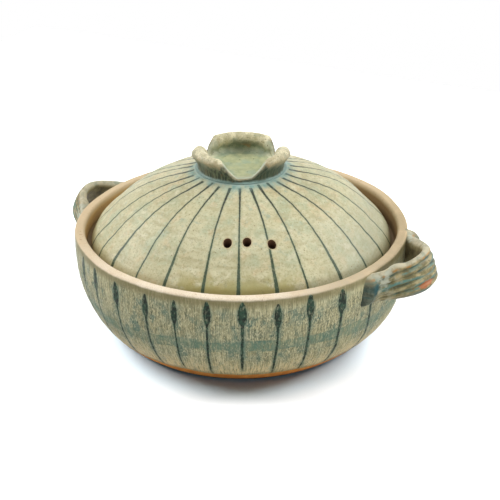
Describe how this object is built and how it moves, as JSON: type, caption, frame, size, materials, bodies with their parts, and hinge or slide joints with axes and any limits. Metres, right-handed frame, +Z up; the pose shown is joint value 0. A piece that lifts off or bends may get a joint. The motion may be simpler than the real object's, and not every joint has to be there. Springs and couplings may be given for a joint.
{
  "type": "lidded clay casserole",
  "caption": "Round stoneware cooking pot with a conical lid that lifts off an inner ledge, a petalled knob, steam holes and ribbed loop handles, in striped green glaze.",
  "frame": {"origin": "centre of the foot, on the surface that the pot stands on", "axes": "+Z up along the axis of the bowl and the lid, +X from the left handle to the right handle, -Y the pot's front"},
  "size_m": [0.3341, 0.2704, 0.1543],
  "materials": {
    "bowl_glaze": "satin sage-green ash glaze with dark teal strokes, over stoneware that is bare and tan on the lip and orange at the foot",
    "handle_glaze": "satin olive and teal glaze that pools dark in the grooves and breaks to bare clay on the ridges",
    "lid_glaze": "satin cream and pale celadon glaze with dark teal radial stripes and brown specks",
    "knob_glaze": "satin sage glaze, pale green in the cup and tan along the rolled rims"
  },
  "bodies": {
    "pot": {"bowl": "bowl_glaze", "handle_right": "handle_glaze", "handle_left": "handle_glaze"},
    "lid": {"lid": "lid_glaze", "knob": "knob_glaze"}
  },
  "joints": [
    {"name": "lid_lift", "type": "slide", "parent": "pot", "child": "lid", "axis": [0, 0, 1], "range_m": [0, 0.15]}
  ]
}
